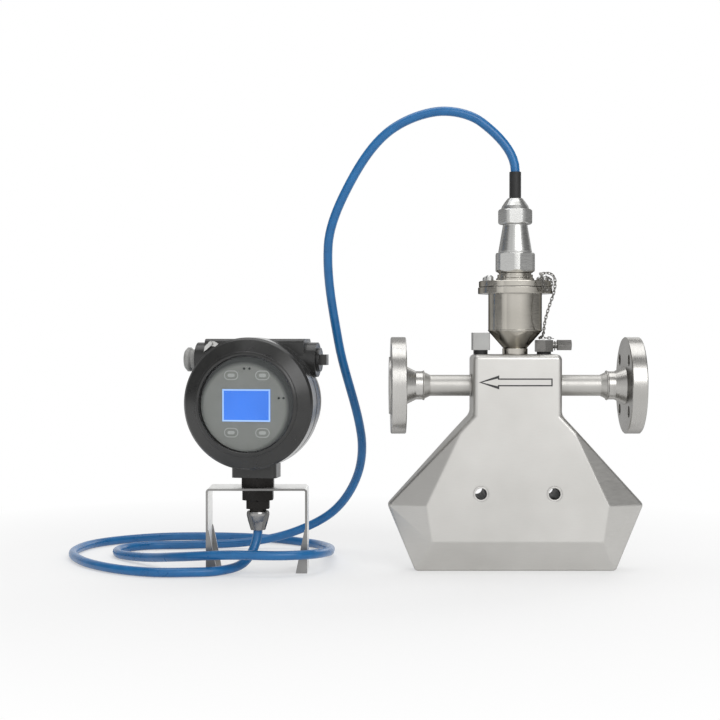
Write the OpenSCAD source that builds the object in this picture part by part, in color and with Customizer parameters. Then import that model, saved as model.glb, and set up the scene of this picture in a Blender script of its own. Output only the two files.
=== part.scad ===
// Remote-mount Coriolis mass flow meter.
// A stainless twin-tube sensor with DN 25 weld-neck flanges is joined by one loose cable to a
// round display transmitter, which stands on its own sheet bracket beside it.
// X runs along the pipe towards the inlet flange, -Y faces the reader, Z is up.
// The origin is the centre of the sensor's flat base, and the floor is z = 0.

/* [Process line] */
// Distance between the two gasket faces
face_to_face = 300; // [286:2:400]
// Diameter of each flange disc
flange_d = 115; // [108:1:140]
// Thickness of each flange disc
flange_t = 18; // [14:1:22]
// Diameter of the raised gasket face
raised_face_d = 68; // [60:1:69]
// Height of the raised gasket face
raised_face_h = 2; // [1:0.5:3]
// Diameter of the bolt circle
bolt_circle_d = 85; // [84:1:92]
// Diameter of each bolt hole
bolt_hole_d = 14; // [10:1:14]
// Number of bolt holes in each flange
bolt_count = 4; // [4:4:8]
// Bore of the flanges
line_bore_d = 28.5; // [24:0.5:29]
// Outer diameter of the flange hub where the pipe is welded on
weld_end_d = 33.7; // [33:0.1:40]
// Height of the pipe axis above the floor
pipe_z = 220; // [216:1:224]
// Outer diameter of the pipe between reducer and case
pipe_d = 25; // [20:1:27]
// Wall of that pipe
pipe_wall = 2.5; // [1.5:0.5:4]

/* [Sensor case] */
// Overall depth of the case, front to back
case_depth = 70; // [66:1:76]
// Width of the case at its widest corner
case_w = 304; // [296:2:320]
// Height of the widest corner
case_corner_z = 79; // [72:1:86]
// Width of the flat base
base_w = 238; // [224:2:250]
// Width of the upright neck
neck_w = 104; // [102:1:110]
// Height of the neck's top face
neck_top_z = 257; // [253:1:260]
// Height at which the neck starts to flare
flare_z = 186; // [182:1:190]
// Sheet thickness of the case
case_wall = 2.5; // [1.5:0.5:3.5]
// Outer bend radius of the case's folds
case_bend = 6; // [5:0.5:8]
// Bore of the two sleeves that pass through the case
sleeve_bore_d = 13.6; // [10:0.2:14]
// Wall of the sleeves
sleeve_wall = 2.2; // [1:0.2:3]
// Distance between the two sleeves
sleeve_spacing = 86; // [76:1:96]
// Height of the sleeves
sleeve_z = 94; // [88:1:100]

/* [Measuring tubes] */
// Outer diameter of the two vibrating tubes
tube_d = 12; // [9:0.5:13]
// Wall of the vibrating tubes
tube_wall = 1; // [0.6:0.1:1.5]
// Distance between the two tube planes
tube_pitch = 26; // [24:1:28]
// Height of the tubes' bottom run
tube_run_z = 31; // [29:1:36]
// Thickness of the brace plates
brace_t = 2; // [1:0.5:3]

/* [Connector] */
// Outer diameter of the connector cup
cup_d = 63.5; // [60:0.5:66]
// Wall of the connector cup
cup_wall = 3.5; // [2.5:0.5:5]
// Height of the cup from the neck to its top
cup_h = 79.3; // [76:0.5:86]
// Diameter of the cup's top flange
cup_flange_d = 88; // [86:1:96]
// Thickness of the cup's top flange
cup_flange_t = 7.6; // [5:0.2:10]
// Diameter of the receptacle's plate
plate_d = 86; // [85:1:94]
// Thickness of the receptacle's plate
plate_t = 6.7; // [5:0.1:9]
// Outer diameter of the threaded barrel
barrel_d = 41.8; // [40:0.2:43]
// Size across the flats of the coupling nut
coupling_af = 45; // [45:0.5:50]
// Height of the coupling nut
coupling_h = 22.2; // [20:0.2:26]
// Size across the flats of the cable clamp nut
clamp_af = 37.4; // [37:0.1:42]
// Outer diameter of the black boot on the cable
boot_d = 14; // [13.5:0.5:17]
// Length of that boot
boot_l = 31; // [24:1:31]

/* [Transmitter] */
// Distance from the sensor's centre to the transmitter's neck, measured to the left
transmitter_gap = 306; // [306:1:306]
// Angle by which the display is turned to the left
transmitter_yaw = 10; // [0:1:12]
// Height of the housing axis
housing_z = 200; // [198:1:206]
// Outer diameter of the window cover
cover_d = 154; // [148:1:158]
// Depth of the window cover's rim
cover_rim = 24; // [20:1:28]
// Diameter of the window opening
window_d = 112; // [106:1:114]
// Thickness of the window glass
glass_t = 5; // [4:0.5:7]
// Outer diameter of the rear half of the housing
rear_d = 136; // [130:1:140]
// Width of the top cross-member
crossbar_w = 120; // [110:2:126]
// Outer diameter of the two conduit entries
conduit_d = 41; // [36:1:43]
// Bore of the two conduit entries
conduit_bore_d = 20.4; // [18:0.2:24]
// Width of the blue screen with its frame
lcd_w = 57; // [50:1:60]
// Height of the blue screen with its frame
lcd_h = 37.5; // [36:0.5:43]

/* [Bracket] */
// Overall width of the bracket
bracket_w = 119; // [112:1:128]
// Depth of the bracket, front to back
bracket_depth = 56; // [50:1:58]
// Height of the bracket's top face
bracket_h = 99.5; // [96:0.5:104]
// Sheet thickness of the bracket
sheet_t = 2.5; // [1.5:0.5:3.5]
// Width of each stiffening wing at the floor
wing_w = 12; // [6:1:14]

/* [Cable] */
// Outer diameter of the cable
cable_d = 11; // [9:0.5:11]

/* [Hidden] */

// Facets of round bodies, and of the small spheres inside hull()
$fn = 96;
fold_fn = 24;
// A little more than nothing, so that cuts pass right through
over = 1;
// Radial clearance of parts that turn or slide in one another
running = 0.1;
// Gap that is left between a moving piece and the face it stops at
stop_gap = 0.2;

// Line of the process pipe, as distances from the sensor's centre
gasket_face = face_to_face / 2;
disc_front = gasket_face - raised_face_h;
disc_back = disc_front - flange_t;
hub_d = 46;
hub_cone_l = 12;
hub_end = disc_back - 20;
reducer_l = 9;
bead_r = 1.1;
manifold_face = 38;
pipe_bore_d = pipe_d - 2 * pipe_wall;

// Outline of the case, in the plane of the pipe
half_depth = case_depth / 2;
neck_half = neck_w / 2;
case_half = case_w / 2;
base_half = base_w / 2;
flare_dir = unit([case_half - neck_half, case_corner_z - flare_z]);
flare_out = [-flare_dir[1], flare_dir[0]];
foot_dir = unit([base_half - case_half, -case_corner_z]);
foot_out = [-foot_dir[1], foot_dir[0]];
// The front panel leaves the flare here, and its lower corners are here
shoulder_x = 70;
panel_side = [105, 79];
panel_foot = [99, 39];
// Half-width of the band that is left at the widest corner and at the base
corner_band = 6;
base_band = 8;
// Radius that eases the crease between neck and flare
crease_r = 14;

// Path of one measuring tube, from the manifold down and round to the other side
port_x = 26;
port_z = pipe_z - 15;
tube_bore_d = tube_d - 2 * tube_wall;
tube_path = [
    [port_x, port_z], [port_x, port_z - 17], [118, 90], [100, tube_run_z],
    [-100, tube_run_z], [-118, 90], [-port_x, port_z - 17], [-port_x, port_z]
];
tube_bends = [25, 20, 22, 22, 20, 25];
tube_sides = 16;
brace_z = port_z - 6;
pickoff_x = 68;
coil_z = tube_run_z + tube_d / 2 + 9;

// Printed arrow: its reach to the left and right, and half heights of head and shaft
arrow_tip = 45.5;
arrow_head = 22;
arrow_tail = 40.3;
arrow_head_h = 8.2;
arrow_shaft_h = 4.6;
arrow_rise = 4.5;

// Fittings on top of the neck
plug_x = -41;
plug_af = 20.6;
plug_gasket_h = 5;
fitting_gasket_d = 17;
fitting_thread_d = 9.8;
fitting_hole_d = 10;
valve_x = 34.4;
valve_af = 20.5;
valve_h = 14;
valve_gasket_h = 3;
nipple_d = 8;
nipple_z = neck_top_z + 11;
nipple_end = 50;
cap_l = 16.8;
cap_af = 12.3;
feed_hole_d = 16;

// Stack of the connector above the neck
cup_top_z = neck_top_z + cup_h;
cup_foot_d = 30;
cup_foot_h = 7;
cup_cone_d = 27.4;
cup_cone_h = 21;
plate_gasket_t = 0.8;
plate_z = cup_top_z + plate_gasket_t;
boss_z = plate_z + plate_t;
boss_d = 45;
boss_h = 3.8;
collar_d = 42;
collar_h = 3.9;
groove_d = 38;
groove_h = 1.6;
barrel_z = boss_z + boss_h + collar_h + groove_h;
barrel_top_z = boss_z + boss_h + 18.4;
insert_bore_d = 34;
insert_gap = 0.1;
insert_face_z = barrel_top_z - 15;
plug_flange_t = 5.2;
plug_neck_d = 38.4;
coupling_z = boss_z + boss_h + collar_h + 3.5;
coupling_top_z = coupling_z + coupling_h;
shell_cone_z = coupling_top_z + 0.3;
shell_cone_h = 34;
shell_top_d = 29.4;
clamp_z = shell_cone_z + shell_cone_h;
clamp_hex_h = 17.6;
dome_h = 13.4;
dome_base_d = 34;
dome_top_d = 16;
clamp_thread_d = 26;
clamp_thread_h = 12;
boot_z = clamp_z + clamp_hex_h + dome_h;
plug_seal_z = clamp_z + clamp_thread_h + 0.2;
plug_seal_h = 12;
screw_circle_d = 74.6;
screw_angles = [30, 150, 210, 330];
screw_d = 5;
screw_head_d = 9.7;
pin_d = 2;
pin_ring_d = 20;
pin_count = 8;

// Stack below the transmitter, downwards from the bracket's top face
transmitter_x = -transmitter_gap;
stub_d = 29.8;
stub_hole_d = 30.2;
adaptor_af = 37.5;
adaptor_h = 12;
adaptor_bore_d = 20;
spigot_d = 25.8;
spigot_h = 12;
lock_nut_af = 36;
lock_nut_h = 13;
plate_under_z = bracket_h - sheet_t;
lock_nut_z = plate_under_z - lock_nut_h;
stub_end_z = lock_nut_z - 1;
gland_af = 27;
gland_hex_h = 9.6;
gland_hex_z = stub_end_z - gland_hex_h;
gland_thread_d = 19.8;
gland_groove_h = 3.2;
gland_nut_z = gland_hex_z - gland_groove_h;
gland_nut_d = 27;
gland_mouth_d = 17.4;
gland_nut_h = 22.2;
gland_mouth_z = gland_nut_z - gland_nut_h;
gland_seal_z = gland_mouth_z + 10.5;
gland_seal_h = 4.5;
seal_bore_d = 6;
// Room round the cable where it passes through a fitting
cable_hole_d = cable_d + 1;

// Housing of the transmitter, as distances in front of its neck axis
housing_flange_front = 24;
housing_flange_back = 6;
housing_back = 36;
neck_boss_w = 54;
neck_boss_z = bracket_h + adaptor_h;
seat_gap = 2;
cover_back = housing_flange_front + seat_gap;
cover_shoulder = cover_back + cover_rim;
cover_front = cover_shoulder + 11;
lip_t = 1.6;
glass_front = cover_front - lip_t;
glass_back = glass_front - glass_t;
glass_d = window_d + 10;
retainer_t = 4;
thread_d = cover_d - 12;
front_cavity_d = thread_d - 10;
spigot_back = 12.5;
partition_t = 4;
rear_mouth_d = rear_d - 10;
rear_cavity_d = rear_mouth_d - 6;
rear_spigot_l = 9.5;
rear_cap_t = 12;
seal_t = seat_gap - 0.1;
display_d = window_d - 2;
display_front = glass_back - 1;
display_t = 2;
lcd_t = 0.7;
lcd_frame = 1.8;
lcd_offset_x = -0.6;
lcd_offset_y = -1.6;
key_size = [17, 11];
key_x = 18.6;
key_y = 33.2;
key_h = 0.3;
eye_d = 3;
eye_depth = 1.2;
board_t = 1.6;
display_board_s = 40;
main_board_s = 24;
standoff_d = 6;
standoff_r = 44;
conduit_y = cover_d / 2 - 26.3;
crossbar_h = 43.5;
crossbar_depth = 40;
crossbar_r = 6;
conduit_end = crossbar_w / 2 + 13;
cavity_reach = 34;

// Links of the chain: wire thickness, length and width of one link, and the play between two
chain_wire = 0.8;
link_l = 6;
link_w = 3.6;
link_play = 0.6;
link_pitch = link_l - 2 * chain_wire - link_play;
chain_path = [
    [34.6, -25, 346], [36.4, -29, 346.3], [38.3, -33.1, 344.2], [39, -35.4, 338.8],
    [37.4, -36.4, 333.9], [33.4, -39, 332], [29.4, -41.5, 333.9], [27.8, -42.5, 338.8],
    [27.4, -41.8, 344.6], [26.6, -38.6, 349.4], [25.8, -33.6, 351.2], [26.8, -28.4, 351.6],
    [30.8, -25, 352.2], [36.2, -25, 352.4], [41, -27.4, 350], [43.4, -29.3, 344.8],
    [43.6, -30, 338], [41.6, -31.5, 328], [38, -33.3, 318], [34.8, -34, 308.5], [32.4, -33, 299.5],
    [31.2, -29.5, 291], [31.2, -23.8, 284.4], [31, -17.5, 280], [29.9, -11.3, 277.5],
    [28.9, -5.2, 276.6], [28.9, 1, 276.4], [30.6, 6.6, 276.5], [35.2, 9.4, 276.5],
    [40.6, 8.2, 276.4], [44.8, 4, 276], [47.2, 1, 274]
];

// Cable, from the transmitter's gland round two loose loops to the connector's boot
cable_sides = 10;
cable_steps = 2;
cable_route = [
    [-306, 0, 51], [-311, -6, 26], [-324, -22, 10], [-349, -47, 6], [-378, -57, 6], [-425, -57, 6],
    [-477, -26, 6], [-524, 35, 6], [-547, 112, 6], [-529, 190, 6], [-462, 245, 6], [-380, 254, 6],
    [-304, 231, 6], [-247, 184, 6], [-224, 122, 9], [-222, 60, 15], [-223, 4, 21], [-241, -38, 24],
    [-277, -56, 25], [-338, -51, 25], [-396, -24, 19], [-443, 32, 10], [-483, 83, 6],
    [-493, 117, 6], [-484, 145, 6], [-457, 165, 6], [-408, 171, 6], [-330, 176, 9], [-270, 174, 23],
    [-218, 154, 53], [-188, 124, 101], [-183, 96, 155], [-211, 54, 272], [-223, 30, 388],
    [-199, 20, 458], [-153, 12, 521], [-93, 5, 546], [-40, 2, 533], [0, 0, 475]
];

stainless = [0.72, 0.72, 0.70];
dull_steel = [0.55, 0.55, 0.54];
black_paint = [0.13, 0.13, 0.13];
black_rubber = [0.08, 0.08, 0.08];
cable_blue = [0.13, 0.38, 0.72];
copper = [0.72, 0.42, 0.24];
board_green = [0.10, 0.38, 0.22];

// ---------------------------------------------------------------- functions

function unit(v) = v / norm(v);

// Corner p of an outline, moved inwards by r from the two edges with outward normals n1 and n2
function inset_corner(p, n1, n2, r) = p - r * (n1 + n2) / (1 + n1 * n2);

// Point of the flare's outer line at a given x
function flare_point(x) = [x, flare_z + (x - neck_half) * flare_dir[1] / flare_dir[0]];

// Points of the round bend of radius r at point i of a path
function bend_points(path, i, r) =
    let (
        a = unit(path[i] - path[i - 1]),
        b = unit(path[i + 1] - path[i]),
        turn = acos(a * b),
        inward = unit(b - (a * b) * a),
        start = path[i] - r * tan(turn / 2) * a,
        steps = ceil(turn / 11)
    )
    [for (k = [0 : steps]) start + r * sin(turn * k / steps) * a + r * (1 - cos(turn * k / steps)) * inward];

// Path in the XZ plane at a given y, with its corners rounded by their own radii
function rounded_path(path, bends, y) =
    let (
        last = len(path) - 1,
        flat = concat(
            [path[0]],
            [for (i = [1 : last - 1]) each bend_points(path, i, bends[i - 1])],
            [path[last]]
        )
    )
    [for (p = flat) [p[0], y, p[1]]];

// Direction of a smooth route at its point i, with given directions at its two ends
function route_dir(p, i, first, last) =
    i == 0 ? first :
    i == len(p) - 1 ? last :
    (p[i + 1] - p[i - 1]) / (norm(p[i + 1] - p[i]) + norm(p[i] - p[i - 1]));

// Point at share u of the smooth curve from route point i to i + 1
function route_point(p, i, u, first, last) =
    let (
        d = norm(p[i + 1] - p[i]),
        a = route_dir(p, i, first, last) * d,
        b = route_dir(p, i + 1, first, last) * d
    )
    (2 * pow(u, 3) - 3 * pow(u, 2) + 1) * p[i] + (pow(u, 3) - 2 * pow(u, 2) + u) * a
        + (3 * pow(u, 2) - 2 * pow(u, 3)) * p[i + 1] + (pow(u, 3) - pow(u, 2)) * b;

// Smooth curve through all the points of a route
function smooth_route(p, steps, first, last) = [
    for (i = [0 : len(p) - 2]) for (k = [0 : steps - 1])
        route_point(p, i, k / steps, first, last),
    p[len(p) - 1]
];

// Direction along a line of points at its point i
function line_dir(p, i) =
    let (last = len(p) - 1, a = max(i, 1), b = min(i, last - 1))
    unit(unit(p[a] - p[a - 1]) + unit(p[b + 1] - p[b]));

// Sideways directions along a line, each carried on from the one before it
function line_sides(p, start) = [
    for (i = 0, n = unit(start); i < len(p);
         i = i + 1,
         t = line_dir(p, min(i, len(p) - 1)),
         n = unit(n - (n * t) * t)) n
];

// Distance along a line of points up to each of them
function line_lengths(p) = [
    for (i = 0, s = 0; i < len(p); s = s + (i + 1 < len(p) ? norm(p[i + 1] - p[i]) : 0), i = i + 1)
        s
];

// Point at distance s along a line of points whose lengths are known
function line_at(p, lengths, s, i = 0) =
    i >= len(p) - 2 || s <= lengths[i + 1]
        ? p[i] + (p[i + 1] - p[i]) * (s - lengths[i]) / (lengths[i + 1] - lengths[i])
        : line_at(p, lengths, s, i + 1);

// ---------------------------------------------------------------- shared shapes

// Hollow cylinder
module tube(outer_d, bore_d, h) {
    difference() {
        cylinder(d = outer_d, h = h);
        translate([0, 0, -over])
            cylinder(d = bore_d, h = h + 2 * over);
    }
}

// Hexagonal bar with flats facing X, turned chamfers at both ends and, where a turned
// diameter is given, turned corners
module hex_bar(af, h, bevel = 1, turned_d = 0) {
    corner = af / cos(30) / 2;
    reach = turned_d > 0 ? turned_d / 2 : corner + 0.1;
    edge = turned_d > 0 ? bevel : bevel + 0.1;
    intersection() {
        rotate([0, 0, 30])
            cylinder(r = corner, h = h, $fn = 6);
        rotate_extrude()
            polygon([
                [0, 0], [reach - edge, 0], [reach, edge],
                [reach, h - edge], [reach - edge, h], [0, h]
            ]);
    }
}

// Rectangle with round corners, made of exact arcs
module round_rect(w, h, r) {
    square([w - 2 * r, h], center = true);
    square([w, h - 2 * r], center = true);
    for (sx = [-1, 1], sy = [-1, 1])
        translate([sx * (w / 2 - r), sy * (h / 2 - r)])
            circle(r = r);
}

// Flat oval made of a rectangle and two circles
module oval(w, h) {
    square([w - h, h], center = true);
    for (side = [-1, 1])
        translate([side * (w - h) / 2, 0])
            circle(d = h);
}

// Places children, made along Z, along +X or its mirror image at the pipe's height
module on_pipe(side) {
    translate([0, 0, pipe_z])
        rotate([0, side * 90, 0])
            children();
}

// Ring of points about point i of a line, in the frame carried along it
function ring_points(line, normals, i, r, sides) =
    let (t = line_dir(line, i), u = unit(normals[i] - (normals[i] * t) * t), v = cross(t, u))
    [for (k = [0 : sides - 1]) line[i] + r * (cos(k * 360 / sides) * u + sin(k * 360 / sides) * v)];

// Walls of a round tube along a line of points; a bore of nothing makes a solid rod
module swept_tube(line, outer_d, bore_d, sides, first_side) {
    n = len(line);
    normals = line_sides(line, first_side);
    ring = n * sides;
    points = concat(
        [for (i = [0 : n - 1]) each ring_points(line, normals, i, outer_d / 2, sides)],
        bore_d > 0 ? [for (i = [0 : n - 1]) each ring_points(line, normals, i, bore_d / 2, sides)] : []
    );
    outer = [for (i = [0 : n - 2]) for (k = [0 : sides - 1])
        each quad(i * sides + k, i * sides + (k + 1) % sides, sides)];
    inner = bore_d > 0 ? [for (f = outer) [f[0] + ring, f[2] + ring, f[1] + ring]] : [];
    last = (n - 1) * sides;
    caps = bore_d > 0
        ? [for (k = [0 : sides - 1]) let (m = (k + 1) % sides)
            each [[k, m, ring + k], [m, ring + m, ring + k],
                [last + k, last + ring + k, last + m], [last + m, last + ring + k, last + ring + m]]]
        : [[for (k = [0 : sides - 1]) k], [for (k = [sides - 1 : -1 : 0]) last + k]];
    polyhedron(points = points, faces = concat(outer, inner, caps), convexity = 10);
}

// Two triangles of the wall between points a and b of one ring and the same of the next ring
function quad(a, b, sides) = [[a, a + sides, b], [b, a + sides, b + sides]];

// ---------------------------------------------------------------- sensor case

// Rods with a round end at the mirrored corners of a case half, for hull() to wrap; they stop
// at the case's middle plane, or past it by a given amount
module fold_rods(x, y, z, r, past) {
    for (side = [-1, 1])
        translate([side * x, -y, z])
            rotate([-90, 0, 0]) {
                sphere(r = r, $fn = fold_fn);
                cylinder(r = r, h = y + past, $fn = fold_fn);
            }
}

// Filled front half of the case, whose folds have radius r about the same fold lines
module case_form(r, past) {
    panel_y = half_depth - case_bend;
    crease = inset_corner([neck_half, flare_z], [1, 0], flare_out, case_bend);
    shoulder = flare_point(shoulder_x) - case_bend * flare_out;
    corner = inset_corner([case_half, case_corner_z], flare_out, foot_out, case_bend);
    foot = inset_corner([base_half, 0], foot_out, [0, -1], case_bend);
    hull() {
        fold_rods(crease[0], panel_y, crease[1], r, past);
        fold_rods(shoulder[0], panel_y, shoulder[1], r, past);
        fold_rods(corner[0], corner_band, corner[1], r, past);
        fold_rods(panel_side[0], panel_y, panel_side[1], r, past);
        fold_rods(panel_foot[0], panel_y, panel_foot[1], r, past);
        fold_rods(foot[0], base_band, foot[1], r, past);
    }
    hull() {
        fold_rods(neck_half - case_bend, panel_y, neck_top_z - case_bend, r, past);
        fold_rods(neck_half - case_bend, panel_y, crease[1] - case_bend, r, past);
    }
}

// Fillets between neck and flare
module case_creases() {
    turn = acos(flare_out[0]);
    leg = crease_r * tan(turn / 2);
    start = [neck_half, flare_z + leg];
    end = [neck_half, flare_z] + leg * flare_dir;
    for (side = [0, 1])
        mirror([side, 0, 0])
            rotate([90, 0, 0])
                linear_extrude(half_depth - case_bend)
                    difference() {
                        polygon([start, end, [neck_half - 1, flare_z - 2], [neck_half - 1, start[1]]]);
                        translate([neck_half + crease_r, start[1]])
                            circle(r = crease_r);
                    }
}

// Front half of the case; resize() with zeros changes no size, and makes the folded body one mesh
module case_half_shell() {
    difference() {
        resize([0, 0, 0])
            difference() {
                union() {
                    case_form(case_bend, 0);
                    case_creases();
                }
                case_form(case_bend - case_wall, over);
            }
        translate([-case_half, 0, pipe_z])
            rotate([0, 90, 0])
                cylinder(d = pipe_d + 0.2, h = case_w);
        for (x = [plug_x, valve_x])
            translate([x, 0, neck_top_z - 2 * case_bend])
                cylinder(d = fitting_hole_d, h = 3 * case_bend);
        translate([0, 0, neck_top_z - 2 * case_bend])
            cylinder(d = feed_hole_d, h = 3 * case_bend);
        at_sleeves()
            cylinder(d = sleeve_bore_d + 2 * sleeve_wall + 0.1, h = case_depth + 2 * over, center = true);
    }
}

// Places children along Y at both sleeves
module at_sleeves() {
    for (side = [-1, 1])
        translate([side * sleeve_spacing / 2, 0, sleeve_z])
            rotate([90, 0, 0])
                children();
}

module front_case_shell() {
    color(stainless)
        case_half_shell();
}

module rear_case_shell() {
    color(stainless)
        mirror([0, 1, 0])
            case_half_shell();
}

module case_through_sleeves() {
    color(dull_steel)
        at_sleeves()
            translate([0, 0, -half_depth])
                tube(sleeve_bore_d + 2 * sleeve_wall, sleeve_bore_d, case_depth);
}

// Outline of an arrow that points to -X, with its line of the given inset
module arrow_shape(inset) {
    tip = 2.2 * inset - arrow_tip;
    head = -arrow_head - inset;
    tail = arrow_tail - inset;
    head_h = arrow_head_h - 2.4 * inset;
    shaft_h = arrow_shaft_h - inset;
    polygon([
        [tip, 0], [head, head_h], [head, shaft_h], [tail, shaft_h],
        [tail, -shaft_h], [head, -shaft_h], [head, -head_h]
    ]);
}

module flow_arrow() {
    line_w = 1.5;
    film_t = 0.3;
    color(black_paint)
        translate([0, -half_depth, pipe_z + arrow_rise])
            rotate([90, 0, 0])
                linear_extrude(film_t)
                    difference() {
                        arrow_shape(0);
                        arrow_shape(line_w);
                    }
}

// ---------------------------------------------------------------- process line

module flange(side) {
    edge = 1;
    color(stainless)
        on_pipe(side)
            difference() {
                rotate_extrude()
                    polygon([
                        [line_bore_d / 2, hub_end],
                        [weld_end_d / 2, hub_end],
                        [weld_end_d / 2, disc_back - hub_cone_l],
                        [hub_d / 2, disc_back],
                        [flange_d / 2 - edge, disc_back],
                        [flange_d / 2, disc_back + edge],
                        [flange_d / 2, disc_front - edge],
                        [flange_d / 2 - edge, disc_front],
                        [raised_face_d / 2, disc_front],
                        [raised_face_d / 2, gasket_face],
                        [line_bore_d / 2, gasket_face]
                    ]);
                for (i = [0 : bolt_count - 1])
                    rotate([0, 0, (i + 0.5) * 360 / bolt_count])
                        translate([bolt_circle_d / 2, 0, disc_back - over])
                            cylinder(d = bolt_hole_d, h = flange_t + 2 * over);
            }
}

// Reducer, pipe stub and the two weld beads
module line_pipe(side) {
    color(stainless)
        on_pipe(side) {
            rotate_extrude()
                polygon([
                    [pipe_bore_d / 2, manifold_face],
                    [pipe_d / 2, manifold_face],
                    [pipe_d / 2, hub_end - reducer_l],
                    [weld_end_d / 2, hub_end],
                    [line_bore_d / 2, hub_end],
                    [pipe_bore_d / 2, hub_end - reducer_l]
                ]);
            rotate_extrude()
                translate([weld_end_d / 2 - 0.2, hub_end - bead_r])
                    circle(r = bead_r, $fn = 32);
            rotate_extrude()
                translate([pipe_d / 2, neck_half + bead_r])
                    circle(r = bead_r, $fn = 32);
        }
}

module inlet_flange() {
    flange(1);
}

module outlet_flange() {
    flange(-1);
}

module inlet_pipe() {
    line_pipe(1);
}

module outlet_pipe() {
    line_pipe(-1);
}

// Cast block that splits the pipe into the two measuring tubes
module manifold(side) {
    block = [24, 44, 30];
    plenum_d = 16;
    color(dull_steel)
        mirror([side > 0 ? 0 : 1, 0, 0])
            difference() {
                translate([manifold_face - block[0], -block[1] / 2, port_z])
                    cube(block);
                translate([port_x, 0, pipe_z])
                    rotate([0, 90, 0])
                        cylinder(d = pipe_bore_d, h = block[0]);
                translate([port_x, 0, pipe_z])
                    rotate([90, 0, 0])
                        cylinder(d = plenum_d, h = tube_pitch + tube_bore_d + 3, center = true);
                for (sy = [-1, 1])
                    translate([port_x, sy * tube_pitch / 2, port_z - over])
                        cylinder(d = tube_bore_d, h = pipe_z - port_z + over);
            }
}

module inlet_manifold() {
    manifold(1);
}

module outlet_manifold() {
    manifold(-1);
}

module flow_tube(side) {
    color(stainless)
        swept_tube(
            rounded_path(tube_path, tube_bends, side * tube_pitch / 2),
            tube_d, tube_bore_d, tube_sides, [0, 1, 0]
        );
}

module front_flow_tube() {
    flow_tube(-1);
}

module rear_flow_tube() {
    flow_tube(1);
}

// Plates that tie the two tubes together just below each manifold
module brace_plates() {
    plate = [20, tube_pitch + tube_d + 6, brace_t];
    color(dull_steel)
        for (side = [-1, 1])
            translate([side * port_x, 0, brace_z])
                difference() {
                    translate([-plate[0] / 2, -plate[1] / 2, 0])
                        cube(plate);
                    for (sy = [-1, 1])
                        translate([0, sy * tube_pitch / 2, -over])
                            cylinder(d = tube_d + 0.1, h = brace_t + 2 * over);
                }
}

// ---------------------------------------------------------------- coils and wiring

// Coil with its holder, which sits on the rear tube
module coil(x) {
    holder_gap = 0.05;
    bobbin_d = 16;
    bobbin_l = 8;
    translate([x, 1, coil_z])
        rotate([-90, 0, 0])
            tube(bobbin_d, 10, bobbin_l);
    translate([x - 6, 1 + bobbin_l, tube_run_z + tube_d / 2 + holder_gap])
        cube([12, 2, coil_z - tube_run_z - tube_d / 2 + 5]);
    translate([x - 6, 1 + bobbin_l, tube_run_z + tube_d / 2 + holder_gap])
        cube([12, tube_pitch / 2 - 1 - bobbin_l + 4, 2]);
}

// Magnet with its holder, which sits on the front tube
module magnet(x) {
    holder_gap = 0.05;
    holder_y = -8;
    translate([x, holder_y, coil_z])
        rotate([-90, 0, 0])
            cylinder(d = 7, h = 13);
    translate([x - 6, holder_y - 2, tube_run_z + tube_d / 2 + holder_gap])
        cube([12, 2, coil_z - tube_run_z - tube_d / 2 + 5]);
    translate([x - 6, -tube_pitch / 2 - 4, tube_run_z + tube_d / 2 + holder_gap])
        cube([12, tube_pitch / 2 + 4 + holder_y, 2]);
}

module drive_coil() {
    color(copper)
        coil(0);
}

module drive_magnet() {
    color(dull_steel)
        magnet(0);
}

module pickoff_coils() {
    color(copper)
        for (side = [-1, 1])
            coil(side * pickoff_x);
}

module pickoff_magnets() {
    color(dull_steel)
        for (side = [-1, 1])
            magnet(side * pickoff_x);
}

// Small block with its saddle on the inlet pipe, just inside the neck
module temperature_sensor() {
    size = [7, 9, 6];
    saddle_gap = 0.05;
    color(copper)
        translate([manifold_face + 1.5, -size[1] / 2, pipe_z])
            difference() {
                cube([size[0], size[1], pipe_d / 2 + size[2]]);
                translate([-over, size[1] / 2, 0])
                    rotate([0, 90, 0])
                        cylinder(d = pipe_d + 2 * saddle_gap, h = size[0] + 2 * over);
            }
}

// Loom from the drive coil up through the neck to the back of the receptacle
module sensor_wiring() {
    loom_d = 4;
    loom_y = 5;
    bottom_z = coil_z + 8.3;
    top_z = plate_z - 6;
    color(copper)
        swept_tube(
            rounded_path(
                [[0, bottom_z], [0, 80], [8, 115], [8, 195], [0, 230], [0, top_z]],
                [20, 20, 20, 20], loom_y
            ),
            loom_d, 0, 10, [0, 1, 0]
        );
}

// ---------------------------------------------------------------- fittings on the neck

module purge_plug_gasket() {
    color(black_rubber)
        translate([plug_x, 0, neck_top_z])
            tube(fitting_gasket_d, fitting_hole_d + 0.2, plug_gasket_h);
}

module purge_plug() {
    head_z = neck_top_z + plug_gasket_h;
    head_h = 20.7;
    color(stainless) {
        translate([plug_x, 0, head_z])
            linear_extrude(head_h)
                round_rect(plug_af, plug_af, 1);
        translate([plug_x, 0, neck_top_z - 8])
            cylinder(d = fitting_thread_d, h = plug_gasket_h + 8);
    }
}

module purge_valve_gasket() {
    color(black_rubber)
        translate([valve_x, 0, neck_top_z])
            tube(fitting_gasket_d, fitting_hole_d + 0.2, valve_gasket_h);
}

module purge_valve_body() {
    color(stainless) {
        translate([valve_x, 0, neck_top_z + valve_gasket_h])
            hex_bar(valve_af, valve_h, 0.8);
        translate([valve_x, 0, neck_top_z - 8])
            cylinder(d = fitting_thread_d, h = valve_gasket_h + 8);
        translate([valve_x, 0, nipple_z])
            rotate([0, 90, 0])
                cylinder(d = nipple_d, h = nipple_end + 8 - valve_x);
    }
}

module purge_valve_cap() {
    color(stainless)
        translate([nipple_end, 0, nipple_z])
            rotate([0, 90, 0])
                difference() {
                    hex_bar(cap_af, cap_l, 0.8);
                    translate([0, 0, -over])
                        cylinder(d = nipple_d + 2 * running, h = 9 + over);
                }
}

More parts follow.
